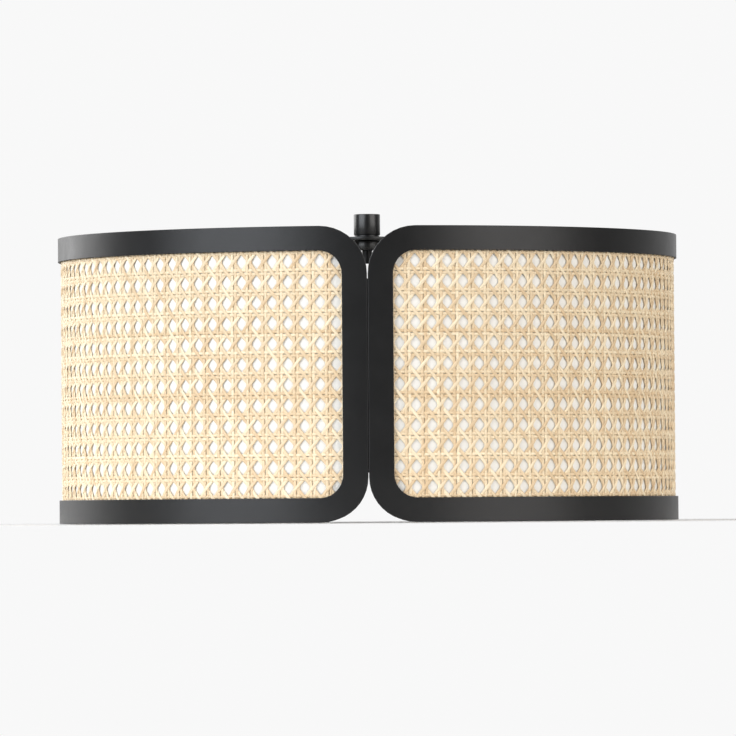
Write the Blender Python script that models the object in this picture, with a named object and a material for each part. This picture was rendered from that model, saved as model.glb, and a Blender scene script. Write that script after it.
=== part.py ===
"""Drum lamp shade: two half-round framed panels of woven cane on a crossbar fitter.

The drum stands on its lower rim with +Z up and the origin at the centre of that rim. The two
seams face -Y (front) and +Y (back). Every length is in metres.
"""

import math

import bmesh
import bpy
from mathutils import Matrix, Vector

# Overall size
SHADE_DIAMETER = 0.550
SHADE_HEIGHT = 0.253

# Panel frames, measured along the drum and up it
BAND_HEIGHT = 0.021
STILE_WIDTH = 0.022
OUTER_CORNER = 0.041
WINDOW_CORNER = 0.020
SEAM_GAP = 0.0006

# Layers of a panel, from the outside in
OUTER_PLATE = 0.0020
CANE_THICKNESS = 0.0018
LINER_THICKNESS = 0.0005
INNER_PLATE = 0.0012
BOSS_TO_CANE = 0.0015
LINER_BEHIND_CANE_EDGE = 0.001
INNER_FRAME_INSET = 0.0015

# Welded studs and their nuts
STUD_DIAMETER = 0.004
STUD_BOSS_DIAMETER = 0.008
STUD_INSET = 0.006
STUD_BEYOND_NUT = 0.001
NUT_ACROSS_FLATS = 0.007
NUT_HEIGHT = 0.0032
HOLE_CLEARANCE = 0.0006
TOP_STUD_ANGLES = (22.5, 57.5, 122.5, 157.5)
BOTTOM_STUD_ANGLES = (22.5, 67.5, 112.5, 157.5)

# Joining plates behind the seams
SEAM_PLATE_FROM_WINDOW = 0.007
SEAM_PLATE_THICKNESS = 0.0020
SEAM_PLATE_CLEAR_OF_CORNER = 0.004
SEAM_STUD_FROM_PLATE_END = 0.022

# Crossbar
BAR_WIDTH = 0.025
BAR_THICKNESS = 0.0030
HUB_DIAMETER = 0.050
TAB_FROM_WINDOW = 0.002
TAB_THICKNESS = 0.0020
TAB_STUD_FROM_BAR = 0.0055
TAB_EDGE_FROM_STUD = 0.0070

# Fitter and knob
STUD_THREAD_DIAMETER = 0.0098
THREAD_CLEARANCE = 0.0004
COLLAR_DIAMETER = 0.0234
COLLAR_HEIGHT = 0.0080
FITTER_STUD_BELOW_COLLAR = 0.012
STUD_BELOW_BORE_END = 0.0025
KNOB_DIAMETER = 0.0234
KNOB_HEIGHT = 0.0188
KNOB_ABOVE_BORE = 0.0033
KNOB_EDGE = 0.0008
WASHER_DIAMETER = 0.0220
WASHER_THICKNESS = 0.0012

# Shared
FIT_GAP = 0.0003
FACET_DEGREES = 5.0
CORNER_STEPS = 5
ROUND_STEPS = 32
PLATE_STEPS = 4
STUD_STEPS = 8
CUT_BEYOND = 0.002
SAME_PLACE = 0.000001

# Worked out from the above
RADIUS = SHADE_DIAMETER / 2
HALF_LENGTH = math.pi * RADIUS
FLAT_SHARE = math.cos(math.radians(FACET_DEGREES / 2))
CANE_INSET = STUD_INSET + STUD_BOSS_DIAMETER / 2 + BOSS_TO_CANE
LINER_INSET = CANE_INSET + LINER_BEHIND_CANE_EDGE
CANE_OUTSIDE = RADIUS - OUTER_PLATE - FIT_GAP
LINER_OUTSIDE = CANE_OUTSIDE - CANE_THICKNESS - FIT_GAP
INNER_FRAME_OUTSIDE = LINER_OUTSIDE - LINER_THICKNESS - FIT_GAP
INNER_FRAME_INSIDE = INNER_FRAME_OUTSIDE - INNER_PLATE
SEAT_RADIUS = INNER_FRAME_INSIDE * FLAT_SHARE - FIT_GAP
SEAM_PLATE_WIDTH = 2 * (STILE_WIDTH - SEAM_PLATE_FROM_WINDOW)
SEAM_PLATE_BOTTOM = OUTER_CORNER + SEAM_PLATE_CLEAR_OF_CORNER
SEAM_PLATE_TOP = SHADE_HEIGHT - SEAM_PLATE_BOTTOM
SEAM_PLATE_INSIDE = SEAT_RADIUS - SEAM_PLATE_THICKNESS
TAB_HEIGHT = BAND_HEIGHT - TAB_FROM_WINDOW
TAB_INSIDE = SEAT_RADIUS - TAB_THICKNESS
DEEPEST_SEAT = SEAT_RADIUS - max(SEAM_PLATE_THICKNESS, TAB_THICKNESS) - FIT_GAP
STUD_TIP = DEEPEST_SEAT - NUT_HEIGHT - STUD_BEYOND_NUT
BAR_BOTTOM = SHADE_HEIGHT - BAR_THICKNESS
COLLAR_TOP = BAR_BOTTOM - FIT_GAP
COLLAR_BOTTOM = COLLAR_TOP - COLLAR_HEIGHT
WASHER_BOTTOM = SHADE_HEIGHT + FIT_GAP
KNOB_BOTTOM = WASHER_BOTTOM + WASHER_THICKNESS + FIT_GAP
KNOB_BORE_END = KNOB_BOTTOM + KNOB_HEIGHT - KNOB_ABOVE_BORE
THREAD_HOLE_RADIUS = STUD_THREAD_DIAMETER / 2 + THREAD_CLEARANCE
TAB_STUD_SPACING = BAR_WIDTH + 2 * TAB_STUD_FROM_BAR
TAB_STUD_ANGLE = TAB_STUD_SPACING / 2 / RADIUS
TAB_WIDTH = TAB_STUD_SPACING + 2 * TAB_EDGE_FROM_STUD

# Each half starts at one seam and runs half way round: the left one starts at the back
SIDES = ("left", "right")
START_ANGLE = {"right": 0.0, "left": math.pi}


def clear_scene():
    for obj in list(bpy.data.objects):
        bpy.data.objects.remove(obj, do_unlink=True)


def make_material(name, colour, roughness, metallic):
    material = bpy.data.materials.new(name)
    material.use_nodes = True
    shader = material.node_tree.nodes["Principled BSDF"]
    shader.inputs["Base Color"].default_value = (*colour, 1.0)
    shader.inputs["Roughness"].default_value = roughness
    shader.inputs["Metallic"].default_value = metallic
    return material


def add_object(name, bm, material):
    """A mesh object from a finished bmesh, with its faces made to point outwards."""
    bmesh.ops.recalc_face_normals(bm, faces=bm.faces)
    if bm.calc_volume(signed=True) < 0:
        bmesh.ops.reverse_faces(bm, faces=bm.faces)
    mesh = bpy.data.meshes.new(name)
    bm.to_mesh(mesh)
    bm.free()
    mesh.materials.append(material)
    mesh.shade_smooth()
    mesh.set_sharp_from_angle(angle=math.radians(30))
    obj = bpy.data.objects.new(name, mesh)
    bpy.context.scene.collection.objects.link(obj)
    return obj


def make_helper(obj):
    """Keeps a cutter or a guide out of the finished object."""
    obj.hide_render = True
    obj.display_type = "WIRE"


def add_boolean(obj, other, operation):
    modifier = obj.modifiers.new(operation.title(), "BOOLEAN")
    modifier.object = other
    modifier.operation = operation
    modifier.solver = "EXACT"


def on_drum(radius, angle, z):
    """A point of the drum: the angle runs from the front seam towards +X."""
    return Vector((radius * math.sin(angle), -radius * math.cos(angle), z))


def corner_drop(distance, corner):
    """How far a rounded corner has pulled in, at this distance from the side it starts on."""
    if distance >= corner:
        return 0.0
    return corner - math.sqrt(max(0.0, corner * corner - (corner - distance) ** 2))


def corner_distances(start, corner):
    """Distances from the seam at which a corner's arc is sampled, evenly round the arc."""
    turns = [i * math.pi / 2 / CORNER_STEPS for i in range(CORNER_STEPS + 1)]
    return [start + corner * (1 - math.cos(turn)) for turn in turns]


def panel_stations(inset, windowed):
    """Distances along the drum's outside, from a panel's first seam, at which it is divided."""
    ends = set(corner_distances(SEAM_GAP / 2 + inset, OUTER_CORNER - inset))
    if windowed:
        ends |= set(corner_distances(STILE_WIDTH, WINDOW_CORNER))
    stations = ends | {HALF_LENGTH - s for s in ends}
    facet = math.radians(FACET_DEGREES) * RADIUS
    clear = max(SEAM_GAP / 2 + OUTER_CORNER, STILE_WIDTH + WINDOW_CORNER)
    count = round(HALF_LENGTH / facet)
    stations |= {i * facet for i in range(count + 1) if clear < i * facet < HALF_LENGTH - clear}
    found = []
    for s in sorted(stations):
        if not found or s - found[-1] > SAME_PLACE:
            found.append(s)
    return found


def panel_rows(s, inset, windowed):
    """Heights of a panel's outline at a station: bottom, window bottom, window top and top.

    Beside the window, in the stile, the middle two only divide the plate into thirds.
    """
    from_seam = min(s, HALF_LENGTH - s)
    outline = inset + corner_drop(from_seam - SEAM_GAP / 2 - inset, OUTER_CORNER - inset)
    rows = [outline, SHADE_HEIGHT - outline]
    if windowed:
        window = SHADE_HEIGHT / 3
        if from_seam > STILE_WIDTH - SAME_PLACE:
            window = BAND_HEIGHT + corner_drop(from_seam - STILE_WIDTH, WINDOW_CORNER)
        rows = [outline, window, SHADE_HEIGHT - window, SHADE_HEIGHT - outline]
    return rows


def half_drum(side, inset, outside, thickness, windowed):
    """A plate rolled to half a drum, with round corners and, if asked for, a rounded window."""
    bm = bmesh.new()
    stations = panel_stations(inset, windowed)
    columns = []
    for s in stations:
        rows = panel_rows(s, inset, windowed)
        angle = START_ANGLE[side] + s / RADIUS
        columns.append(
            (
                [bm.verts.new(on_drum(outside, angle, z)) for z in rows],
                [bm.verts.new(on_drum(outside - thickness, angle, z)) for z in rows],
            )
        )
    last_row = len(columns[0][0]) - 1
    filled = {}
    for i in range(len(stations) - 1):
        middle = (stations[i] + stations[i + 1]) / 2
        in_stile = min(middle, HALF_LENGTH - middle) < STILE_WIDTH
        for row in range(last_row):
            filled[i, row] = not windowed or in_stile or row != 1
    for (i, row), solid in filled.items():
        if not solid:
            continue
        near, far = columns[i], columns[i + 1]
        bm.faces.new([near[0][row], far[0][row], far[0][row + 1], near[0][row + 1]])
        bm.faces.new([near[1][row], near[1][row + 1], far[1][row + 1], far[1][row]])
        for step, edge_row in ((-1, row), (1, row + 1)):
            if not filled.get((i, row + step), False):
                bm.faces.new([near[0][edge_row], near[1][edge_row], far[1][edge_row], far[0][edge_row]])
        for step, column in ((-1, near), (1, far)):
            if not filled.get((i + step, row), False):
                bm.faces.new([column[0][row], column[0][row + 1], column[1][row + 1], column[1][row]])
    return bm


def arc_plate(outside, thickness, width, bottom, top, centre_angle):
    """A small plate rolled to the drum's curve."""
    bm = bmesh.new()
    inside = outside - thickness
    corners = ((outside, bottom), (outside, top), (inside, top), (inside, bottom))
    sections = []
    for i in range(PLATE_STEPS + 1):
        angle = centre_angle + (i / PLATE_STEPS - 0.5) * width / outside
        sections.append([bm.verts.new(on_drum(radius, angle, z)) for radius, z in corners])
    for first, second in zip(sections, sections[1:]):
        for i in range(4):
            j = (i + 1) % 4
            bm.faces.new([first[i], second[i], second[j], first[j]])
    bm.faces.new(sections[0])
    bm.faces.new(sections[-1])
    return bm


def turned(bm, profile, steps, matrix=None):
    """Adds a closed turned solid about +Z. The profile's (radius, z) points end on the axis."""
    rings = []
    for radius, z in profile:
        if radius == 0:
            rings.append([bm.verts.new((0, 0, z))])
            continue
        turns = [2 * math.pi * i / steps for i in range(steps)]
        rings.append([bm.verts.new((radius * math.cos(t), radius * math.sin(t), z)) for t in turns])
    for lower, upper in zip(rings, rings[1:]):
        for i in range(steps):
            corners = [lower[i % len(lower)], lower[(i + 1) % len(lower)]]
            corners += [upper[(i + 1) % len(upper)], upper[i % len(upper)]]
            bm.faces.new(list(dict.fromkeys(corners)))
    if matrix is not None:
        bmesh.ops.transform(bm, matrix=matrix, verts=[v for ring in rings for v in ring])


def turned_ring(bm, profile, steps):
    """Adds a solid of revolution with a hole: the profile is a closed loop of (radius, z)."""
    rings = []
    for radius, z in profile:
        turns = [2 * math.pi * i / steps for i in range(steps)]
        rings.append([bm.verts.new((radius * math.cos(t), radius * math.sin(t), z)) for t in turns])
    for k, lower in enumerate(rings):
        upper = rings[(k + 1) % len(rings)]
        for i in range(steps):
            bm.faces.new([lower[i], lower[(i + 1) % steps], upper[(i + 1) % steps], upper[i]])


def radial_matrix(angle, z, radius=0.0):
    """Turns local +Z to point from the axis outwards at this angle, at this height."""
    outward = on_drum(1.0, angle, 0.0)
    turn = outward.to_track_quat("Z", "Y").to_matrix().to_4x4()
    return Matrix.Translation(outward * radius + Vector((0, 0, z))) @ turn


def panel_studs(side):
    """Angle and height of each stud of a panel, the radius its nut bears on, and its place."""
    start = START_ANGLE[side]
    first_seam, second_seam = ("front", "back") if side == "right" else ("back", "front")
    top = SHADE_HEIGHT - STUD_INSET
    studs = [(start + math.radians(a), top, SEAT_RADIUS, "top") for a in TOP_STUD_ANGLES]
    for hand in (-1, 1):
        angle = start + math.pi / 2 + hand * TAB_STUD_ANGLE
        studs.append((angle, top, TAB_INSIDE - FIT_GAP, "bar"))
    studs += [
        (start + math.radians(a), STUD_INSET, SEAT_RADIUS, "bottom") for a in BOTTOM_STUD_ANGLES
    ]
    seam_angle = (SEAM_GAP / 2 + STUD_INSET) / RADIUS
    seat = SEAM_PLATE_INSIDE - FIT_GAP
    low = SEAM_PLATE_BOTTOM + SEAM_STUD_FROM_PLATE_END
    high = SEAM_PLATE_TOP - SEAM_STUD_FROM_PLATE_END
    for z in (low, high):
        studs.append((start + seam_angle, z, seat, f"seam_{first_seam}"))
        studs.append((start + math.pi - seam_angle, z, seat, f"seam_{second_seam}"))
    return studs


def stud_cutters(name, studs, material):
    """Clearance holes for a set of studs, as one helper object."""
    bm = bmesh.new()
    hole = STUD_DIAMETER / 2 + HOLE_CLEARANCE
    inner = STUD_TIP - CUT_BEYOND
    outer = INNER_FRAME_OUTSIDE + CUT_BEYOND
    for angle, z, _, _ in studs:
        profile = ((0, inner), (hole, inner), (hole, outer), (0, outer))
        turned(bm, profile, STUD_STEPS, radial_matrix(angle, z))
    cutter = add_object(name, bm, material)
    make_helper(cutter)
    return cutter


def make_outer_frame(side, material):
    """The visible frame, with the shouldered studs that are welded to its back."""
    bm = half_drum(side, 0.0, RADIUS, OUTER_PLATE, True)
    frame = add_object(f"outer_frame_{side}", bm, material)
    bm = bmesh.new()
    weld = RADIUS - OUTER_PLATE / 2
    shoulder = INNER_FRAME_OUTSIDE + FIT_GAP
    shank = STUD_DIAMETER / 2
    boss = STUD_BOSS_DIAMETER / 2
    profile = ((0, STUD_TIP), (shank, STUD_TIP), (shank, shoulder))
    profile += ((boss, shoulder), (boss, weld), (0, weld))
    for angle, z, _, _ in panel_studs(side):
        turned(bm, profile, STUD_STEPS, radial_matrix(angle, z))
    studs = add_object(f"studs_{side}", bm, material)
    make_helper(studs)
    add_boolean(frame, studs, "UNION")


def make_inner_frame(side, material):
    """The retaining frame, with a clearance hole over each stud."""
    bm = half_drum(side, INNER_FRAME_INSET, INNER_FRAME_OUTSIDE, INNER_PLATE, True)
    frame = add_object(f"inner_frame_{side}", bm, material)
    cutter = stud_cutters(f"stud_holes_{side}", panel_studs(side), material)
    add_boolean(frame, cutter, "DIFFERENCE")


def make_plain_panel(name, side, inset, outside, thickness, material):
    bm = half_drum(side, inset, outside, thickness, False)
    add_object(f"{name}_{side}", bm, material)


def make_seam_plate(end, material):
    """The plate that joins the two panels behind one seam."""
    centre = 0.0 if end == "front" else math.pi
    heights = (SEAM_PLATE_BOTTOM, SEAM_PLATE_TOP)
    bm = arc_plate(SEAT_RADIUS, SEAM_PLATE_THICKNESS, SEAM_PLATE_WIDTH, *heights, centre)
    plate = add_object(f"seam_plate_{end}", bm, material)
    studs = [s for side in SIDES for s in panel_studs(side) if s[3] == f"seam_{end}"]
    add_boolean(plate, stud_cutters(f"plate_holes_{end}", studs, material), "DIFFERENCE")


def nut_mesh(material):
    """A hex nut about +Z, with its seat at z = 0 and its body below."""
    bm = bmesh.new()
    hole = STUD_DIAMETER / 2 + HOLE_CLEARANCE
    corner = NUT_ACROSS_FLATS / 2 / math.cos(math.pi / 6)
    loops = {}
    for z in (0.0, -NUT_HEIGHT):
        for radius, count in ((corner, 6), (hole, STUD_STEPS)):
            turns = [2 * math.pi * i / count for i in range(count)]
            ring = [bm.verts.new((radius * math.cos(t), radius * math.sin(t), z)) for t in turns]
            loops[z, radius] = [bm.edges.new((ring[i], ring[(i + 1) % count])) for i in range(count)]
    for radius in (corner, hole):
        bmesh.ops.bridge_loops(bm, edges=loops[0.0, radius] + loops[-NUT_HEIGHT, radius])
    for z in (0.0, -NUT_HEIGHT):
        bmesh.ops.triangle_fill(bm, use_beauty=True, edges=loops[z, corner] + loops[z, hole])
    bmesh.ops.recalc_face_normals(bm, faces=bm.faces)
    mesh = bpy.data.meshes.new("nut")
    bm.to_mesh(mesh)
    bm.free()
    mesh.materials.append(material)
    return mesh


def make_nuts(material):
    mesh = nut_mesh(material)
    for side in SIDES:
        counts = {}
        for angle, z, seat, place in panel_studs(side):
            counts[place] = counts.get(place, 0) + 1
            nut = bpy.data.objects.new(f"nut_{side}_{place}_{counts[place]}", mesh)
            nut.matrix_world = radial_matrix(angle, z, seat)
            bpy.context.scene.collection.objects.link(nut)


def make_crossbar(material):
    """A flat bar with a round hub, whose ends turn down to tabs inside the upper bands."""
    bm = bmesh.new()
    reach = SEAT_RADIUS - TAB_THICKNESS / 2
    bmesh.ops.create_cube(bm, size=1.0)
    size = Vector((2 * reach, BAR_WIDTH, BAR_THICKNESS))
    place = Matrix.Translation((0, 0, BAR_BOTTOM + BAR_THICKNESS / 2)) @ Matrix.Diagonal((*size, 1.0))
    bmesh.ops.transform(bm, matrix=place, verts=bm.verts)
    bar = add_object("crossbar", bm, material)

    bm = bmesh.new()
    hub = HUB_DIAMETER / 2
    profile = ((0, BAR_BOTTOM), (hub, BAR_BOTTOM), (hub, SHADE_HEIGHT), (0, SHADE_HEIGHT))
    turned(bm, profile, ROUND_STEPS)
    hub_disc = add_object("hub_disc", bm, material)
    make_helper(hub_disc)
    add_boolean(bar, hub_disc, "UNION")

    for side in SIDES:
        centre = START_ANGLE[side] + math.pi / 2
        bottom = SHADE_HEIGHT - TAB_HEIGHT
        bm = arc_plate(SEAT_RADIUS, TAB_THICKNESS, TAB_WIDTH, bottom, SHADE_HEIGHT, centre)
        tab = add_object(f"tab_{side}", bm, material)
        make_helper(tab)
        add_boolean(bar, tab, "UNION")
        studs = [stud for stud in panel_studs(side) if stud[3] == "bar"]
        add_boolean(bar, stud_cutters(f"tab_holes_{side}", studs, material), "DIFFERENCE")

    bm = bmesh.new()
    low, high = BAR_BOTTOM - CUT_BEYOND, SHADE_HEIGHT + CUT_BEYOND
    hole = THREAD_HOLE_RADIUS
    turned(bm, ((0, low), (hole, low), (hole, high), (0, high)), ROUND_STEPS)
    bore = add_object("hub_bore", bm, material)
    make_helper(bore)
    add_boolean(bar, bore, "DIFFERENCE")


def make_fitter(fitter, material):
    """The threaded stud and the collar that the crossbar rests on."""
    bm = bmesh.new()
    hole = THREAD_HOLE_RADIUS
    outside = COLLAR_DIAMETER / 2
    loop = ((hole, COLLAR_BOTTOM), (outside, COLLAR_BOTTOM), (outside, COLLAR_TOP), (hole, COLLAR_TOP))
    turned_ring(bm, loop, ROUND_STEPS)
    collar = add_object("fitter_collar", bm, material)
    collar.parent = fitter

    bm = bmesh.new()
    thread = STUD_THREAD_DIAMETER / 2
    low = COLLAR_BOTTOM - FITTER_STUD_BELOW_COLLAR
    high = KNOB_BORE_END - STUD_BELOW_BORE_END
    turned(bm, ((0, low), (thread, low), (thread, high), (0, high)), ROUND_STEPS)
    stud = add_object("fitter_stud", bm, material)
    stud.parent = fitter


def make_knob(knob_axis, lift_axis, material):
    """The knob, with its blind bore over the stud, and the washer under it."""
    bm = bmesh.new()
    bore = THREAD_HOLE_RADIUS
    outside = KNOB_DIAMETER / 2
    top = KNOB_BOTTOM + KNOB_HEIGHT
    profile = (
        (0, KNOB_BORE_END),
        (bore, KNOB_BORE_END),
        (bore, KNOB_BOTTOM),
        (outside - KNOB_EDGE, KNOB_BOTTOM),
        (outside, KNOB_BOTTOM + KNOB_EDGE),
        (outside, top - KNOB_EDGE),
        (outside - KNOB_EDGE, top),
        (0, top),
    )
    turned(bm, profile, ROUND_STEPS)
    knob = add_object("knob", bm, material)
    knob.parent = knob_axis

    bm = bmesh.new()
    edge = WASHER_DIAMETER / 2
    high = WASHER_BOTTOM + WASHER_THICKNESS
    loop = ((bore, WASHER_BOTTOM), (edge, WASHER_BOTTOM), (edge, high), (bore, high))
    turned_ring(bm, loop, ROUND_STEPS)
    washer = add_object("knob_washer", bm, material)
    washer.parent = lift_axis


def add_axis(name, parent=None):
    """An empty on the drum's axis, which the pieces of one moving body hang from."""
    axis = bpy.data.objects.new(name, None)
    bpy.context.scene.collection.objects.link(axis)
    axis.parent = parent
    return axis


def main():
    clear_scene()
    black = make_material("black_coating", (0.018, 0.018, 0.019), 0.42, 0.0)
    cane = make_material("natural_cane", (0.82, 0.66, 0.44), 0.50, 0.0)
    lining = make_material("white_lining", (0.90, 0.88, 0.83), 0.80, 0.0)
    zinc = make_material("zinc_plating", (0.62, 0.62, 0.60), 0.35, 1.0)

    for side in SIDES:
        make_outer_frame(side, black)
        make_plain_panel("cane_panel", side, CANE_INSET, CANE_OUTSIDE, CANE_THICKNESS, cane)
        make_plain_panel("liner", side, LINER_INSET, LINER_OUTSIDE, LINER_THICKNESS, lining)
        make_inner_frame(side, black)
    for end in ("front", "back"):
        make_seam_plate(end, black)
    make_nuts(zinc)
    make_crossbar(black)

    fitter = add_axis("fitter_axis")
    lift = add_axis("knob_lift_axis", fitter)
    turn = add_axis("knob_turn_axis", lift)
    make_fitter(fitter, black)
    make_knob(turn, lift, black)


main()
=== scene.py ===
import math

import bpy
import numpy as np
from mathutils import Matrix, Vector


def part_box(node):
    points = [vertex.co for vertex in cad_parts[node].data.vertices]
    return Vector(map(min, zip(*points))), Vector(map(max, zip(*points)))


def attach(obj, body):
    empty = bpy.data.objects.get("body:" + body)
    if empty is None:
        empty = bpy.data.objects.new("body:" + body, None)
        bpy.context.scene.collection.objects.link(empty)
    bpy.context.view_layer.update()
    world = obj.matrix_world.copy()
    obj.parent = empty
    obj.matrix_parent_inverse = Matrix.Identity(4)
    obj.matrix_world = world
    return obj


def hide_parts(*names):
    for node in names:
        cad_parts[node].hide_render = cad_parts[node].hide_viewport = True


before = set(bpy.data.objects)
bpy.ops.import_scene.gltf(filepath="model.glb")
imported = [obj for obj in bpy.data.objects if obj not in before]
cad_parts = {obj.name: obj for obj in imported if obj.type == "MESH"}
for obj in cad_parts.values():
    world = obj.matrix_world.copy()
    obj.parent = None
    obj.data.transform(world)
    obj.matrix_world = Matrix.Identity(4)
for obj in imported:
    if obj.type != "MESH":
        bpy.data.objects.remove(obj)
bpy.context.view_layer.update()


# ---- Outer frames -------------------------------------------------------------------------
# Each half of the drum hangs in one steel plate: a rounded rectangle with a rounded window,
# cut flat, rolled to a half circle and powder coated satin black. The two plates butt at the
# front and the back, where their round corners leave a V at the top and at the bottom.
plate_low, plate_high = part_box("outer_frame_right")
drum_radius = plate_high.x
drum_height = plate_high.z
seam_gap = 2 * plate_low.x
panel_length = math.pi * drum_radius - seam_gap
outer_plate = 0.0020
band_height = 0.021
stile_width = 0.022
outer_corner = 0.041
window_corner = 0.020
plate_edge = 0.0005
corner_segments = 10
roll_step = math.radians(1.5) * drum_radius
QUARTER = math.pi / 2

# Corners sharper than the first get their edge eased, and the plate's wide faces are shaded
# apart from the eased edges, which turn away by more than the second, in degrees.
edge_break = math.radians(50)
flat_face_limit = 20


def only(obj):
    """Selects this object alone and makes it the active one."""
    bpy.ops.object.select_all(action="DESELECT")
    obj.select_set(True)
    bpy.context.view_layer.objects.active = obj


def edit(obj):
    """Opens a mesh in edit mode with everything in it selected."""
    only(obj)
    bpy.ops.object.mode_set(mode="EDIT")
    bpy.ops.mesh.select_all(action="SELECT")


def close():
    """Leaves edit mode."""
    bpy.ops.object.mode_set(mode="OBJECT")


def settle(obj):
    """Writes the object's place into its mesh, so that it sits at the origin."""
    only(obj)
    bpy.ops.object.transform_apply(location=True, rotation=True, scale=True)


def apply_modifiers(obj):
    """Applies the piece's modifiers, in their order."""
    only(obj)
    for modifier in list(obj.modifiers):
        bpy.ops.object.modifier_apply(modifier=modifier.name)


def join(obj, others):
    """Puts the other meshes into this object's."""
    only(obj)
    for other in others:
        other.select_set(True)
    bpy.ops.object.join()


def copy_of(obj, name):
    """A copy with its own mesh."""
    only(obj)
    bpy.ops.object.duplicate()
    made = bpy.context.object
    made.name = name
    return made


def discard(*objects):
    """Removes patterns and tools that have done their work."""
    for obj in objects:
        bpy.data.objects.remove(obj)


def smooth(obj, degrees=35):
    """Shades a piece smooth, up to edges sharper than this."""
    only(obj)
    bpy.ops.object.shade_smooth_by_angle(angle=math.radians(degrees))


def finish_piece(obj, body, material, cad_node):
    """Gives a piece its material, its body and the CAD node it stands for."""
    obj.data.materials.clear()
    obj.data.materials.append(material)
    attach(obj, body)
    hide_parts(cad_node)


def rounded_plate(name, width, height, corner):
    """A flat rounded rectangle facing -Y, centred on the drum's height."""
    bpy.ops.object.select_all(action="DESELECT")
    bpy.ops.mesh.primitive_plane_add(
        size=1, location=(0, 0, drum_height / 2), rotation=(QUARTER, 0, 0)
    )
    plate = bpy.context.object
    plate.name = name
    plate.scale = (width, height, 1)
    settle(plate)
    edit(plate)
    bpy.ops.mesh.bevel(offset=corner, segments=corner_segments, affect="VERTICES")
    close()
    return plate


def cut_window(plate, width, height, corner):
    """Opens a rounded window in a rounded plate, by bridging the two outlines."""
    window = rounded_plate("window", width, height, corner)
    join(plate, [window])
    edit(plate)
    bpy.ops.mesh.delete(type="ONLY_FACE")
    bpy.ops.mesh.select_all(action="SELECT")
    bpy.ops.mesh.bridge_edge_loops()
    bpy.ops.mesh.select_all(action="SELECT")
    bpy.ops.mesh.normals_make_consistent(inside=False)
    close()
    if plate.data.polygons[0].normal.y > 0:
        edit(plate)
        bpy.ops.mesh.flip_normals()
        close()


def divide(plate, step):
    """Cuts a flat plate into narrow columns, which the roll can curve."""
    reach = max(v.co.x for v in plate.data.vertices)
    edit(plate)
    count = int(reach / step)
    for i in range(-count, count + 1):
        bpy.ops.mesh.select_all(action="SELECT")
        bpy.ops.mesh.bisect(plane_co=(i * step, 0, 0), plane_no=(1, 0, 0))
    close()


def thicken(plate, thickness, edge, depth):
    """Gives a flat plate its wall and eased edges, this far behind the drum's outside."""
    plate.location.y = depth
    settle(plate)
    wall = plate.modifiers.new("wall", "SOLIDIFY")
    wall.thickness = thickness
    wall.offset = -1
    eased = plate.modifiers.new("eased", "BEVEL")
    eased.width = edge
    eased.segments = 2
    eased.limit_method = "ANGLE"
    eased.angle_limit = edge_break
    apply_modifiers(plate)


def keep_flat_pattern(obj):
    """Stores the flat pattern's own coordinates, in metres, as the piece's UV map."""
    mesh = obj.data
    for layer in list(mesh.uv_layers):
        mesh.uv_layers.remove(layer)
    layer = mesh.uv_layers.new(name="flat")
    places = np.empty(len(mesh.vertices) * 3, np.float32)
    mesh.vertices.foreach_get("co", places)
    corners = np.empty(len(mesh.loops), np.int32)
    mesh.loops.foreach_get("vertex_index", corners)
    flat = places.reshape(-1, 3)[corners][:, [0, 2]]
    layer.data.foreach_set("uv", np.ascontiguousarray(flat).ravel())


def roll(obj, facing):
    """Rolls a flat pattern round the drum's axis. Facing 0 is the front, and a quarter turn
    the right. A pattern that has its own UV map already keeps it."""
    if "flat" not in obj.data.uv_layers:
        keep_flat_pattern(obj)
    across = [v.co.x for v in obj.data.vertices]
    bend = obj.modifiers.new("roll", "SIMPLE_DEFORM")
    bend.deform_method = "BEND"
    bend.deform_axis = "Z"
    bend.angle = (max(across) - min(across)) / drum_radius
    apply_modifiers(obj)
    obj.location = (0, -drum_radius, 0)
    settle(obj)
    obj.rotation_euler = (0, 0, facing)
    settle(obj)


SIDES = {"right": QUARTER, "left": -QUARTER}


def node(tree, kind, **inputs):
    """Adds a shader node and sets its inputs, by name."""
    made = tree.nodes.new(kind)
    for name, value in inputs.items():
        made.inputs[name.replace("_", " ")].default_value = value
    return made


def link(tree, source, output, target, socket):
    """Joins two shader nodes. A socket goes by its name, or by its number."""
    tree.links.new(source.outputs[output], target.inputs[socket])


def new_material(name, colour, roughness, metallic=0.0):
    """A material with its node tree and its shader, which start at these values."""
    material = bpy.data.materials.new(name)
    material.use_nodes = True
    shader = material.node_tree.nodes["Principled BSDF"]
    shader.inputs["Base Color"].default_value = (*colour, 1)
    shader.inputs["Roughness"].default_value = roughness
    shader.inputs["Metallic"].default_value = metallic
    return material, material.node_tree, shader


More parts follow.
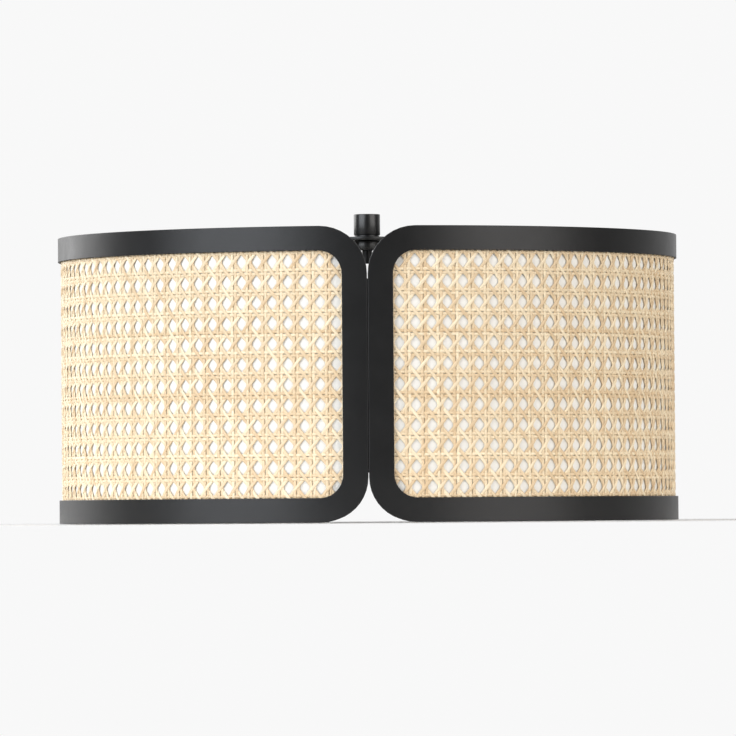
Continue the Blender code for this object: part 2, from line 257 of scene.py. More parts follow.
def powder_coat():
    """Satin black powder coating: a fine pebbled skin, a little uneven in gloss and tone."""
    material, tree, shader = new_material("satin_black_coating", (0.0055, 0.0055, 0.0056), 0.36)
    place = node(tree, "ShaderNodeTexCoord")
    pebble = node(tree, "ShaderNodeTexNoise", Scale=2600.0, Detail=3.0, Roughness=0.55)
    cloud = node(tree, "ShaderNodeTexNoise", Scale=38.0, Detail=4.0, Roughness=0.6)
    for texture in (pebble, cloud):
        link(tree, place, "Object", texture, "Vector")
    tone = tree.nodes.new("ShaderNodeValToRGB")
    tone.color_ramp.elements[0].color = (0.0040, 0.0040, 0.0041, 1)
    tone.color_ramp.elements[1].color = (0.0070, 0.0069, 0.0068, 1)
    shader.inputs["Specular IOR Level"].default_value = 0.42
    link(tree, cloud, "Fac", tone, "Fac")
    link(tree, tone, "Color", shader, "Base Color")
    gloss = node(tree, "ShaderNodeMapRange")
    gloss.inputs["To Min"].default_value = 0.33
    gloss.inputs["To Max"].default_value = 0.45
    link(tree, cloud, "Fac", gloss, "Value")
    link(tree, gloss, "Result", shader, "Roughness")
    bump = node(tree, "ShaderNodeBump", Strength=0.18, Distance=0.00012)
    link(tree, pebble, "Fac", bump, "Height")
    link(tree, bump, "Normal", shader, "Normal")
    return material


coating = powder_coat()

# The studs are welded to the back of the plate: a shoulder that sets the gap for the cane, then
# an M4 shank. One stands at each nut, so the nuts' places give the studs'.
stud_shoulder = 0.004
stud_shank = 0.0020
stud_facets = 16
thread_pitch = 0.0007
thread_depth = 0.00022
weld_depth = 0.0015
clamp_gap = 0.0049
stud_end_radius = 0.26155
stud_reach = drum_radius - stud_end_radius
shank_start = 0.0085
tip_inset = 0.0004
tip_height = 0.0003
end_on = 0.9
nut_nodes = sorted(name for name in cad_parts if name.startswith("nut_"))


def make_stud():
    """A shouldered weld stud that points to -Z, with its weld at z = 0."""
    bpy.ops.object.select_all(action="DESELECT")
    shoulder_length = clamp_gap - weld_depth
    bpy.ops.mesh.primitive_cylinder_add(
        vertices=stud_facets,
        radius=stud_shoulder,
        depth=shoulder_length,
        location=(0, 0, -shoulder_length / 2),
    )
    stud = bpy.context.object
    settle(stud)
    edit(stud)
    bpy.ops.mesh.select_all(action="DESELECT")
    bpy.ops.mesh.select_mode(type="FACE")
    close()
    for face in stud.data.polygons:
        face.select = face.normal.z < -end_on
    bpy.ops.object.mode_set(mode="EDIT")
    bpy.ops.mesh.inset(thickness=stud_shoulder - stud_shank)
    depth = shoulder_length
    plain = shank_start - clamp_gap
    bpy.ops.mesh.extrude_region_move(TRANSFORM_OT_translate={"value": (0, 0, -plain)})
    depth += plain
    crest = 1 - thread_depth / stud_shank
    turns = int((stud_reach - weld_depth - depth) / thread_pitch)
    half_turn = {"value": (0, 0, -thread_pitch / 2)}
    for i in range(2 * turns):
        share = crest if i % 2 == 0 else 1 / crest
        bpy.ops.mesh.extrude_region_move(TRANSFORM_OT_translate=half_turn)
        bpy.ops.transform.resize(value=(share, share, 1))
    bpy.ops.mesh.inset(thickness=tip_inset)
    bpy.ops.transform.translate(value=(0, 0, -tip_height))
    close()
    return stud


def radial_place(node_name):
    """Angle about the axis, height, and the radius of the middle of a CAD nut."""
    low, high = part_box(node_name)
    centre = (low + high) / 2
    return math.atan2(centre.y, centre.x), centre.z, math.hypot(centre.x, centre.y)


def stand_radially(obj, angle, z, radius, spin=0.0):
    """Turns +Z to point outwards at this angle, and puts the origin at this radius."""
    outward = Matrix.Rotation(angle, 4, "Z") @ Matrix.Rotation(QUARTER, 4, "Y")
    spot = Vector((math.cos(angle) * radius, math.sin(angle) * radius, z))
    obj.matrix_world = Matrix.Translation(spot) @ outward @ Matrix.Rotation(spin, 4, "Z")
    settle(obj)


stud_pattern = make_stud()
smooth(stud_pattern)
for side, facing in SIDES.items():
    plate = rounded_plate(f"frame_plate_{side}", panel_length, drum_height, outer_corner)
    window_width = panel_length + seam_gap - 2 * stile_width
    cut_window(plate, window_width, drum_height - 2 * band_height, window_corner)
    divide(plate, roll_step)
    thicken(plate, outer_plate, plate_edge, 0.0)
    roll(plate, facing)
    smooth(plate, flat_face_limit)
    studs = []
    for name in nut_nodes:
        if name.startswith(f"nut_{side}"):
            stud = copy_of(stud_pattern, "stud")
            angle, z = radial_place(name)[:2]
            stand_radially(stud, angle, z, drum_radius - weld_depth)
            studs.append(stud)
    join(plate, studs)
    finish_piece(plate, "shade", coating, f"outer_frame_{side}")
discard(stud_pattern)


# ---- Woven cane ---------------------------------------------------------------------------
# The windows are filled with six-way cane webbing: pairs of uprights and pairs of cross strands
# in a plain weave, and two families of diagonals that cross midway between the pairs' crossings
# and leave eight-sided holes. The strands are split rattan skin, flat behind, crowned outside.
cane_low, cane_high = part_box("cane_panel_right")
cane_outside = drum_radius - cane_high.x
cane_thick = 0.0018
cane_middle = cane_outside + cane_thick / 2
cane_inset = cane_low.z
column_pitch = 0.01420
row_pitch = 0.01758
pair_half = 0.00155
strand_width = 0.00252
strand_thick = 0.00055
diagonal_width = 0.0029
crown = 0.75 * strand_thick
unevenness = 0.0007
drift_sizes = (("X", 0.050), ("Z", 0.037))
weld_distance = 0.00001

# Along a strand from the middle of a crossing: it has most of its rise at the first distance
# and all of it at the second, and is level again at this share of the way to the next.
quick_rise = 0.00075
quick_share = 0.9
full_rise = 0.0026
rest_share = 0.30


def strand_section(name, width, length):
    """One pitch of a strand along +Z, open at both ends, flat behind and crowned in front."""
    bpy.ops.object.select_all(action="DESELECT")
    bpy.ops.mesh.primitive_cube_add(size=1)
    strand = bpy.context.object
    strand.name = name
    strand.scale = (width, strand_thick, length)
    settle(strand)
    edit(strand)
    bpy.ops.mesh.select_mode(type="FACE")
    bpy.ops.mesh.select_all(action="DESELECT")
    close()
    for face in strand.data.polygons:
        face.select = abs(face.normal.z) > end_on
    bpy.ops.object.mode_set(mode="EDIT")
    bpy.ops.mesh.delete(type="ONLY_FACE")
    bpy.ops.mesh.select_mode(type="EDGE")
    close()
    for edge in strand.data.edges:
        ends = [strand.data.vertices[i].co for i in edge.vertices]
        edge.select = all(end.y < 0 for end in ends) and abs(ends[0].z - ends[1].z) > length / 2
    bpy.ops.object.mode_set(mode="EDIT")
    bpy.ops.mesh.bevel(offset=crown, segments=1, affect="EDGES")
    close()
    return strand


def bend_strand(strand, rises):
    """Cuts a strand across at these places along it, and moves each cut in or out."""
    edit(strand)
    for along in rises:
        bpy.ops.mesh.select_all(action="SELECT")
        bpy.ops.mesh.bisect(plane_co=(0, 0, along), plane_no=(0, 0, 1))
    close()
    for along, rise in rises.items():
        bpy.ops.object.mode_set(mode="EDIT")
        bpy.ops.mesh.select_mode(type="VERT")
        bpy.ops.mesh.select_all(action="DESELECT")
        close()
        for vertex in strand.data.vertices:
            vertex.select = abs(vertex.co.z - along) < weld_distance
        bpy.ops.object.mode_set(mode="EDIT")
        bpy.ops.transform.translate(value=(0, rise, 0))
        close()


def repeat(obj, count, step, merge=False):
    """Copies a mesh in a straight row."""
    row = obj.modifiers.new("row", "ARRAY")
    row.count = count
    row.use_relative_offset = False
    row.use_constant_offset = True
    row.constant_offset_displace = step
    row.use_merge_vertices = merge
    row.merge_threshold = weld_distance
    apply_modifiers(obj)


def woven_pair(name, pitch, run_pitch, runs, count):
    """Pairs of strands along +Z: the two of a pair rise over opposite strands of the other set."""
    pair = []
    for hand in (-1, 1):
        strand = strand_section(name, strand_width, run_pitch)
        rises = {}
        for side in (-1, 1):
            rise = hand * side * strand_thick / 2
            rises[side * full_rise] = rise
            rises[side * quick_rise] = quick_share * rise
            rises[side * rest_share * run_pitch] = 0.0
        bend_strand(strand, rises)
        strand.location.x = hand * pair_half
        settle(strand)
        repeat(strand, runs, (0, 0, run_pitch), merge=True)
        pair.append(strand)
    join(pair[0], pair[1:])
    repeat(pair[0], count, (pitch, 0, 0))
    return pair[0]


def diagonal_family(name, hand):
    """Slanting strands: one family lies over the uprights and under the cross strands, the
    other the other way round. Its unit is centred where it crosses an upright pair."""
    unit = math.hypot(column_pitch, row_pitch)
    strand = strand_section(name, diagonal_width, unit)
    level = -hand * strand_thick
    rises = {side * full_rise: 2 * level for side in (-1, 1)}
    rises.update({side * (unit / 2 - full_rise): 0.0 for side in (-1, 1)})
    bend_strand(strand, rises)
    strand.location.y = -level
    strand.rotation_euler = (0, hand * math.atan2(column_pitch, row_pitch), 0)
    settle(strand)
    repeat(strand, rows, (hand * column_pitch, 0, row_pitch), merge=True)
    repeat(strand, columns + rows, (-hand * column_pitch, 0, 0))
    strand.location = (-hand * column_start, cane_middle, row_start + row_pitch / 2)
    settle(strand)
    return strand


def loosen(obj):
    """Moves a flat weave a little along its own plane, the same for every strand at a place."""
    for direction, drift_size in drift_sizes:
        drift = bpy.data.textures.new("drift", "CLOUDS")
        drift.noise_scale = drift_size
        slip = obj.modifiers.new("slip", "DISPLACE")
        slip.texture = drift
        slip.texture_coords = "LOCAL"
        slip.direction = direction
        slip.strength = unevenness
    apply_modifiers(obj)


def trim_cane(obj):
    """Trims a flat weave to the panel's outline, with its corners cut off behind the frame."""
    reach = panel_length / 2 + seam_gap / 2 - cane_inset
    rise = drum_height / 2 - cane_inset
    corner = outer_corner - cane_inset
    cuts = [((side * reach, 0, middle_z), (side, 0, 0)) for side in (-1, 1)]
    cuts += [((0, 0, middle_z + side * rise), (0, 0, side)) for side in (-1, 1)]
    for across in (-1, 1):
        for up in (-1, 1):
            start = Vector((across * (reach - corner), 0, middle_z + up * (rise - corner)))
            slant = Vector((across, 0, up)).normalized()
            cuts.append((start + slant * corner, slant))
    edit(obj)
    for place, outward in cuts:
        bpy.ops.mesh.select_all(action="SELECT")
        bpy.ops.mesh.bisect(plane_co=place, plane_no=outward, use_fill=True, clear_outer=True)
    close()


columns = 2 * int(panel_length / 2 / column_pitch) + 3
rows = 2 * int(drum_height / 2 / row_pitch) + 3
middle_z = drum_height / 2
column_start = -(columns - 1) / 2 * column_pitch
row_start = middle_z - (rows - 1) / 2 * row_pitch

uprights = woven_pair("cane_uprights", column_pitch, row_pitch, rows, columns)
uprights.location = (column_start, cane_middle, row_start)
settle(uprights)

crossings = woven_pair("cane_cross_strands", row_pitch, column_pitch, columns, rows)
crossings.rotation_euler = (0, QUARTER, 0)
settle(crossings)
crossings.location = (column_start, cane_middle, row_start + (rows - 1) * row_pitch)
settle(crossings)

rising = diagonal_family("cane_rising_strands", 1)
falling = diagonal_family("cane_falling_strands", -1)

fibre_length = 0.030
fibre_width = 0.00042
fibre_shift = 7.0
strand_tone_share = 0.45
rings_per_fibre = 5.0


def cane_material(name, strands_per_metre, fibre_turn):
    """Split rattan skin: each strand its own tone, long fibres, darker nodes and a waxy gloss.
    A strand is counted by its place across the flat pattern, so the two numbers are how many
    there are in a metre along the pattern's width and along its height."""
    material, tree, shader = new_material(name, (0.82, 0.66, 0.44), 0.42)
    place = node(tree, "ShaderNodeUVMap")
    place.uv_map = "flat"
    centred = node(tree, "ShaderNodeVectorMath")
    centred.operation = "SUBTRACT"
    centred.inputs[1].default_value = (0.0, middle_z, 0.0)
    link(tree, place, "UV", centred, 0)
    across = node(tree, "ShaderNodeVectorMath")
    across.operation = "DOT_PRODUCT"
    across.inputs[1].default_value = (*strands_per_metre, 0.0)
    link(tree, centred, "Vector", across, 0)
    number = node(tree, "ShaderNodeMath")
    number.operation = "FLOOR"
    link(tree, across, "Value", number, 0)
    chance = node(tree, "ShaderNodeTexWhiteNoise")
    chance.noise_dimensions = "1D"
    link(tree, number, "Value", chance, "W")
    along = node(tree, "ShaderNodeMapping")
    along.vector_type = "TEXTURE"
    along.inputs["Rotation"].default_value = (0.0, 0.0, fibre_turn)
    along.inputs["Scale"].default_value = (fibre_length, fibre_width, 1.0)
    link(tree, centred, "Vector", along, "Vector")
    shifted = node(tree, "ShaderNodeVectorMath")
    shifted.operation = "MULTIPLY_ADD"
    shifted.inputs[1].default_value = (fibre_shift, fibre_shift, fibre_shift)
    link(tree, chance, "Color", shifted, 0)
    link(tree, along, "Vector", shifted, 2)
    fibres = node(tree, "ShaderNodeTexNoise", Scale=1.0, Detail=4.0, Roughness=0.65)
    link(tree, shifted, "Vector", fibres, "Vector")
    blend = node(tree, "ShaderNodeMath")
    blend.operation = "MULTIPLY_ADD"
    blend.inputs[1].default_value = strand_tone_share
    link(tree, chance, "Value", blend, 0)
    share = node(tree, "ShaderNodeMath")
    share.operation = "MULTIPLY"
    share.inputs[1].default_value = 1 - strand_tone_share
    link(tree, fibres, "Fac", share, 0)
    link(tree, share, "Value", blend, 2)
    tone = tree.nodes.new("ShaderNodeValToRGB")
    tone.color_ramp.elements[0].position = 0.18
    tone.color_ramp.elements[0].color = (0.68, 0.48, 0.27, 1)
    tone.color_ramp.elements[1].position = 0.72
    tone.color_ramp.elements[1].color = (0.93, 0.79, 0.56, 1)
    link(tree, blend, "Value", tone, "Fac")
    lengthwise = node(tree, "ShaderNodeVectorMath")
    lengthwise.operation = "MULTIPLY"
    lengthwise.inputs[1].default_value = (rings_per_fibre, 0.0, 0.0)
    link(tree, shifted, "Vector", lengthwise, 0)
    rings = node(tree, "ShaderNodeTexNoise", Scale=1.0, Detail=1.0)
    link(tree, lengthwise, "Vector", rings, "Vector")
    ring = node(tree, "ShaderNodeMapRange")
    ring.inputs["From Min"].default_value = 0.70
    ring.inputs["From Max"].default_value = 0.76
    ring.inputs["To Max"].default_value = 0.55
    link(tree, rings, "Fac", ring, "Value")
    darker = node(tree, "ShaderNodeMix")
    darker.data_type = "RGBA"
    link(tree, ring, "Result", darker, 0)
    link(tree, tone, "Color", darker, 6)
    darker.inputs[7].default_value = (0.46, 0.29, 0.14, 1)
    link(tree, darker, 2, shader, "Base Color")
    gloss = node(tree, "ShaderNodeMapRange")
    gloss.inputs["To Min"].default_value = 0.34
    gloss.inputs["To Max"].default_value = 0.58
    link(tree, fibres, "Fac", gloss, "Value")
    link(tree, gloss, "Result", shader, "Roughness")
    bump = node(tree, "ShaderNodeBump", Strength=0.35, Distance=0.00015)
    link(tree, fibres, "Fac", bump, "Height")
    link(tree, bump, "Normal", shader, "Normal")
    return material


slant = math.atan2(row_pitch, column_pitch)
CANE = (
    ("uprights", uprights, (2 / column_pitch, 0.0), QUARTER),
    ("cross_strands", crossings, (0.0, 2 / row_pitch), 0.0),
    ("rising_strands", rising, (1 / column_pitch, -1 / row_pitch), slant),
    ("falling_strands", falling, (1 / column_pitch, 1 / row_pitch), -slant),
)
for name, pattern, strands_per_metre, fibre_turn in CANE:
    material = cane_material(f"cane_{name}", strands_per_metre, fibre_turn)
    keep_flat_pattern(pattern)
    loosen(pattern)
    trim_cane(pattern)
    for side, facing in SIDES.items():
        woven = copy_of(pattern, f"cane_{name}_{side}")
        roll(woven, facing)
        smooth(woven, 60)
        finish_piece(woven, "shade", material, f"cane_panel_{side}")
    discard(pattern)


# ---- Lining -------------------------------------------------------------------------------
# A thin off-white cloth lies stretched right behind the cane, clamped with it between the
# frames. It hides the inside and shows bright through the holes.
liner_low, liner_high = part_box("liner_right")
liner_depth = drum_radius - liner_high.x
liner_inset = liner_low.z
liner_thick = 0.0005
liner_edge = 0.0001
cloth_thread = 0.0006

# A wave texture has about this many bands to the metre at scale 1.
waves_at_scale_one = 3.1416


def lining_cloth():
    """Plain-woven lining: threads that cross, in relief, and soft slubs that vary its tone."""
    material, tree, shader = new_material("white_lining_cloth", (0.90, 0.88, 0.83), 0.85)
    place = node(tree, "ShaderNodeUVMap")
    place.uv_map = "flat"
    threads = []
    wave_scale = 1 / cloth_thread / waves_at_scale_one
    for direction in ("X", "Y"):
        wave = node(tree, "ShaderNodeTexWave", Scale=wave_scale, Distortion=0.6, Detail=1.0)
        wave.bands_direction = direction
        link(tree, place, "UV", wave, "Vector")
        threads.append(wave)
    relief = node(tree, "ShaderNodeMath")
    relief.operation = "MAXIMUM"
    link(tree, threads[0], "Fac", relief, 0)
    link(tree, threads[1], "Fac", relief, 1)
    slub = node(tree, "ShaderNodeTexNoise", Scale=220.0, Detail=5.0, Roughness=0.7)
    link(tree, place, "UV", slub, "Vector")
    tone = tree.nodes.new("ShaderNodeValToRGB")
    tone.color_ramp.elements[0].color = (0.86, 0.835, 0.775, 1)
    tone.color_ramp.elements[1].color = (0.93, 0.915, 0.865, 1)
    link(tree, slub, "Fac", tone, "Fac")
    link(tree, tone, "Color", shader, "Base Color")
    bump = node(tree, "ShaderNodeBump", Strength=0.3, Distance=0.0001)
    link(tree, relief, "Value", bump, "Height")
    link(tree, bump, "Normal", shader, "Normal")
    return material


lining = lining_cloth()
for side, facing in SIDES.items():
    width = panel_length + seam_gap - 2 * liner_inset
    height = drum_height - 2 * liner_inset
    cloth = rounded_plate(f"lining_cloth_{side}", width, height, outer_corner - liner_inset)
    divide(cloth, roll_step)
    thicken(cloth, liner_thick, liner_edge, liner_depth)
    roll(cloth, facing)
    smooth(cloth)
    finish_piece(cloth, "shade", lining, f"liner_{side}")


# ---- Inner frames -------------------------------------------------------------------------
# A thinner steel plate, coated like the outer one and a little smaller than it, clamps the
# lining and the cane from behind. It is held by nuts on the welded studs.
inner_low, inner_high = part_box("inner_frame_right")
inner_depth = drum_radius - inner_high.x
inner_inset = inner_low.z
inner_plate = 0.0012
inner_edge = 0.0003
for side, facing in SIDES.items():
    width = panel_length - 2 * inner_inset
    height = drum_height - 2 * inner_inset
    clamp = rounded_plate(f"clamp_plate_{side}", width, height, outer_corner - inner_inset)
    cut_window(clamp, window_width, drum_height - 2 * band_height, window_corner)
    divide(clamp, roll_step)
    thicken(clamp, inner_plate, inner_edge, inner_depth)
    roll(clamp, facing)
    smooth(clamp)
    finish_piece(clamp, "shade", coating, f"inner_frame_{side}")


# ---- Seam plates --------------------------------------------------------------------------
# Behind each seam a narrow steel plate, rolled and coated like the frames, ties the two halves
# together. It hangs on two studs of each half, under their nuts.
strip_corner = 0.005
strip_thick = 0.0020
strip_edge = 0.0004
strip_step = 0.0025
for end, facing in (("front", 0.0), ("back", math.pi)):
    low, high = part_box(f"seam_plate_{end}")
    near = max(abs(low.y), abs(high.y))
    strip = rounded_plate(f"joining_plate_{end}", high.x - low.x, high.z - low.z, strip_corner)
    divide(strip, strip_step)
    thicken(strip, strip_thick, strip_edge, drum_radius - near)
    roll(strip, facing)
    smooth(strip)
    finish_piece(strip, "shade", coating, f"seam_plate_{end}")


# ---- Nuts ---------------------------------------------------------------------------------
# Zinc-plated steel M4 hex nuts, chamfered on both ends, one on each stud. They are done up by
# hand, so no two stand at the same turn.
nut_across = 0.0070
nut_height = 0.0032
nut_clearance = 0.00005
nut_turn = math.radians(137.5)
bore_facets = 48

# The chamfer starts at this share of a flat's distance from the axis, and slopes by 30 degrees.
chamfer_start = 0.985
chamfer_out = 0.5
chamfer_up = 0.866


def zinc_plating():
    """Bright zinc: a pale metal, cloudy in tone and gloss, with a faint relief."""
    material, tree, shader = new_material("bright_zinc_plating", (0.62, 0.62, 0.60), 0.30, 1.0)
    place = node(tree, "ShaderNodeTexCoord")
    cloud = node(tree, "ShaderNodeTexNoise", Scale=700.0, Detail=5.0, Roughness=0.65)
    link(tree, place, "Object", cloud, "Vector")
    tone = tree.nodes.new("ShaderNodeValToRGB")
    tone.color_ramp.elements[0].color = (0.46, 0.46, 0.44, 1)
    tone.color_ramp.elements[1].color = (0.70, 0.70, 0.69, 1)
    link(tree, cloud, "Fac", tone, "Fac")
    link(tree, tone, "Color", shader, "Base Color")
    gloss = node(tree, "ShaderNodeMapRange")
    gloss.inputs["To Min"].default_value = 0.22
    gloss.inputs["To Max"].default_value = 0.42
    link(tree, cloud, "Fac", gloss, "Value")
    link(tree, gloss, "Result", shader, "Roughness")
    bump = node(tree, "ShaderNodeBump", Strength=0.1, Distance=0.00005)
    link(tree, cloud, "Fac", bump, "Height")
    link(tree, bump, "Normal", shader, "Normal")
    return material


def bore_out(obj, radius, low, high):
    """Drills a round hole along Z."""
    bpy.ops.object.select_all(action="DESELECT")
    middle = (low + high) / 2
    bpy.ops.mesh.primitive_cylinder_add(
        vertices=bore_facets, radius=radius, depth=high - low, location=(0, 0, middle)
    )
    drill = bpy.context.object
    cut = obj.modifiers.new("bore", "BOOLEAN")
    cut.object = drill
    cut.operation = "DIFFERENCE"
    apply_modifiers(obj)
    discard(drill)


def make_nut():
    """A hex nut about +Z, centred on the origin."""
    bpy.ops.object.select_all(action="DESELECT")
    corner = nut_across / 2 / math.cos(math.pi / 6)
    bpy.ops.mesh.primitive_cylinder_add(vertices=6, radius=corner, depth=nut_height)
    nut = bpy.context.object
    edit(nut)
    for up in (-1, 1):
        for i in range(6):
            turn = i * math.pi / 3 + QUARTER
            across = Vector((math.cos(turn), math.sin(turn), 0))
            outward = across * chamfer_out + Vector((0, 0, up * chamfer_up))
            tip = across * nut_across / 2 * chamfer_start
            tip.z = up * nut_height / 2
            bpy.ops.mesh.select_all(action="SELECT")
            bpy.ops.mesh.bisect(plane_co=tip, plane_no=outward, use_fill=True, clear_outer=True)
    close()
    bore_out(nut, stud_shank + nut_clearance, -nut_height, nut_height)
    smooth(nut)
    return nut


plating = zinc_plating()
nut_pattern = make_nut()
for i, name in enumerate(nut_nodes):
    nut = copy_of(nut_pattern, name.replace("nut_", "hex_nut_"))
    stand_radially(nut, *radial_place(name), i * nut_turn)
    finish_piece(nut, "shade", plating, name)
discard(nut_pattern)


# ---- Crossbar -----------------------------------------------------------------------------
# A flat steel bar, coated like the frames, spans the drum near the height of its rim. A round
# hub carries the fitter, and at each end a welded tab, rolled to the drum's curve, is held by
# two of the studs.
bar_low, bar_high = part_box("crossbar")
bar_thick = 0.0030
bar_width = 0.025
hub_radius = 0.025
hub_bore = 0.0053
bar_edge = 0.0004
tab_thick = 0.0020
tab_width = 0.050
tab_corner = 0.004
tab_edge = 0.0003
tab_sink = 0.0002
tab_step = 0.0025
bar_top = bar_high.z
bar_bottom = bar_top - bar_thick
bar_middle = (bar_top + bar_bottom) / 2
drill_run = 0.002
round_facets = 96
ease_from = math.radians(40)


def ease(obj, width, segments=2):
    """Breaks a piece's sharp edges."""
    eased = obj.modifiers.new("eased", "BEVEL")
    eased.width = width
    eased.segments = segments
    eased.limit_method = "ANGLE"
    eased.angle_limit = ease_from
    apply_modifiers(obj)


def weld(obj, other):
    """Makes one solid of two that overlap."""
    union = obj.modifiers.new("weld", "BOOLEAN")
    union.object = other
    union.operation = "UNION"
    apply_modifiers(obj)
    discard(other)


bpy.ops.object.select_all(action="DESELECT")
bpy.ops.mesh.primitive_cube_add(size=1, location=(0, 0, bar_middle))
bar = bpy.context.object
bar.name = "cross_bar"
bar.scale = (2 * (bar_high.x - tab_thick / 2), bar_width, bar_thick)
settle(bar)
ease(bar, bar_edge)
bpy.ops.object.select_all(action="DESELECT")
bpy.ops.mesh.primitive_cylinder_add(
    vertices=round_facets, radius=hub_radius, depth=bar_thick, location=(0, 0, bar_middle)
)
hub = bpy.context.object
settle(hub)
ease(hub, bar_edge)
weld(bar, hub)
for facing in SIDES.values():
    tab = rounded_plate("tab", tab_width, bar_high.z - bar_low.z, tab_corner)
    tab.location.z = (bar_high.z + bar_low.z) / 2 - drum_height / 2 - tab_sink
    settle(tab)
    divide(tab, tab_step)
    thicken(tab, tab_thick, tab_edge, drum_radius - bar_high.x)
    roll(tab, facing)
    weld(bar, tab)
bore_out(bar, hub_bore, bar_bottom - drill_run, bar_top + drill_run)
smooth(bar)
finish_piece(bar, "shade", coating, "crossbar")


# ---- Fitter -------------------------------------------------------------------------------
# A blackened M10 x 1 threaded stud runs up through the hub. The collar under the hub carries the
# shade, and its flat underside sits on the lamp's pole, with the stud screwed into it.
collar_low, collar_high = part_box("fitter_collar")
collar_radius = collar_high.x
rod_low, rod_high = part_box("fitter_stud")
rod_radius = rod_high.x
rod_pitch = 0.001
rod_depth = 0.0006
rod_steps = 32
rod_spare_turns = 4
collar_edge = 0.0006
collar_clearance = 0.0002


def turned_metal():
    """Blackened turned metal: faint rings round the axis under a thin satin coat."""
    material, tree, shader = new_material("turned_black_metal", (0.0080, 0.0080, 0.0082), 0.30)
    place = node(tree, "ShaderNodeTexCoord")
    stretch = node(tree, "ShaderNodeMapping")
    stretch.inputs["Scale"].default_value = (60.0, 60.0, 9000.0)
    link(tree, place, "Object", stretch, "Vector")
    rings = node(tree, "ShaderNodeTexNoise", Scale=1.0, Detail=3.0, Roughness=0.6)
    link(tree, stretch, "Vector", rings, "Vector")
    tone = tree.nodes.new("ShaderNodeValToRGB")
    tone.color_ramp.elements[0].color = (0.0065, 0.0065, 0.0067, 1)
    tone.color_ramp.elements[1].color = (0.0100, 0.0100, 0.0102, 1)
    link(tree, rings, "Fac", tone, "Fac")
    link(tree, tone, "Color", shader, "Base Color")
    gloss = node(tree, "ShaderNodeMapRange")
    gloss.inputs["To Min"].default_value = 0.24
    gloss.inputs["To Max"].default_value = 0.36
    link(tree, rings, "Fac", gloss, "Value")
    link(tree, gloss, "Result", shader, "Roughness")
    bump = node(tree, "ShaderNodeBump", Strength=0.12, Distance=0.00005)
    link(tree, rings, "Fac", bump, "Height")
    link(tree, bump, "Normal", shader, "Normal")
    return material


black_metal = turned_metal()
bpy.ops.object.select_all(action="DESELECT")
bpy.ops.mesh.primitive_cylinder_add(
    vertices=round_facets,
    radius=collar_radius,
    depth=collar_high.z - collar_low.z,
    location=(0, 0, (collar_low.z + collar_high.z) / 2),
)
collar = bpy.context.object
collar.name = "pole_collar"
settle(collar)
ease(collar, collar_edge, 3)
bore_radius = rod_radius + collar_clearance
bore_out(collar, bore_radius, collar_low.z - drill_run, collar_high.z + drill_run)
smooth(collar)
finish_piece(collar, "fitter", black_metal, "fitter_collar")


def draw_line(name, points, closed=False):
    """Draws a profile in the XZ plane from its (x, z) points, by extruding one vertex."""
    bpy.ops.object.select_all(action="DESELECT")
    bpy.ops.mesh.primitive_plane_add(size=0.001, location=(points[0][0], 0, points[0][1]))
    line = bpy.context.object
    line.name = name
    settle(line)
    edit(line)
    bpy.ops.mesh.merge(type="CENTER")
    for start, end in zip(points, points[1:]):
        step = (end[0] - start[0], 0, end[1] - start[1])
        bpy.ops.mesh.extrude_vertices_move(TRANSFORM_OT_translate={"value": step})
    if closed:
        bpy.ops.mesh.select_all(action="SELECT")
        bpy.ops.mesh.remove_doubles(threshold=weld_distance)
    close()
    return line


def spin_profile(line, steps, rise=0.0, turns=1):
    """Turns a profile about +Z, rising on each turn if it is a thread."""
    screw = line.modifiers.new("turned", "SCREW")
    screw.steps = steps
    screw.render_steps = steps
    screw.screw_offset = rise
    screw.iterations = turns
    screw.use_merge_vertices = True
    screw.merge_threshold = weld_distance
    apply_modifiers(line)
    edit(line)
    bpy.ops.mesh.remove_doubles(threshold=weld_distance)
    bpy.ops.mesh.select_all(action="SELECT")
    bpy.ops.mesh.normals_make_consistent(inside=False)
    close()


# One turn of the thread's profile, as (radius, height): up its flank, along its crest and back.
thread_line = [
    (rod_radius - rod_depth, 0.0),
    (rod_radius, 0.35 * rod_pitch),
    (rod_radius, 0.50 * rod_pitch),
    (rod_radius - rod_depth, 0.85 * rod_pitch),
    (rod_radius - rod_depth, rod_pitch),
]
rod_base = rod_low.z - 2 * rod_pitch
rod = draw_line("threaded_stud", [(x, z + rod_base) for x, z in thread_line])
rod_turns = int((rod_high.z - rod_low.z) / rod_pitch) + rod_spare_turns
spin_profile(rod, rod_steps, rod_pitch, rod_turns)
edit(rod)
for end, outward in ((rod_low.z, -1), (rod_high.z, 1)):
    bpy.ops.mesh.select_all(action="SELECT")
    bpy.ops.mesh.bisect(
        plane_co=(0, 0, end), plane_no=(0, 0, outward), use_fill=True, clear_outer=True
    )
bpy.ops.mesh.select_all(action="SELECT")
bpy.ops.mesh.normals_make_consistent(inside=False)
close()
smooth(rod)
finish_piece(rod, "fitter", black_metal, "fitter_stud")


# ---- Knob ---------------------------------------------------------------------------------
# A solid round knob, turned from bar and blackened, screws down on the stud over a plain washer
# and holds the shade. Its bore is blind and its edges are just broken.
knob_low, knob_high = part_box("knob")
knob_radius = knob_high.x
knob_edge = 0.0007
knob_bore = rod_radius + 0.0003
knob_roof = 0.0033
bore_chamfer = 0.0008
washer_low, washer_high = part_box("knob_washer")
washer_edge = 0.0002


def eased_corner(x, z, dx, dz, edge):
    """Three points that round a corner of a profile: dx and dz point from it to the inside."""
    middle = edge * (1 - math.cos(math.pi / 4))
    return [(x + dx * edge, z), (x + dx * middle, z + dz * middle), (x, z + dz * edge)]


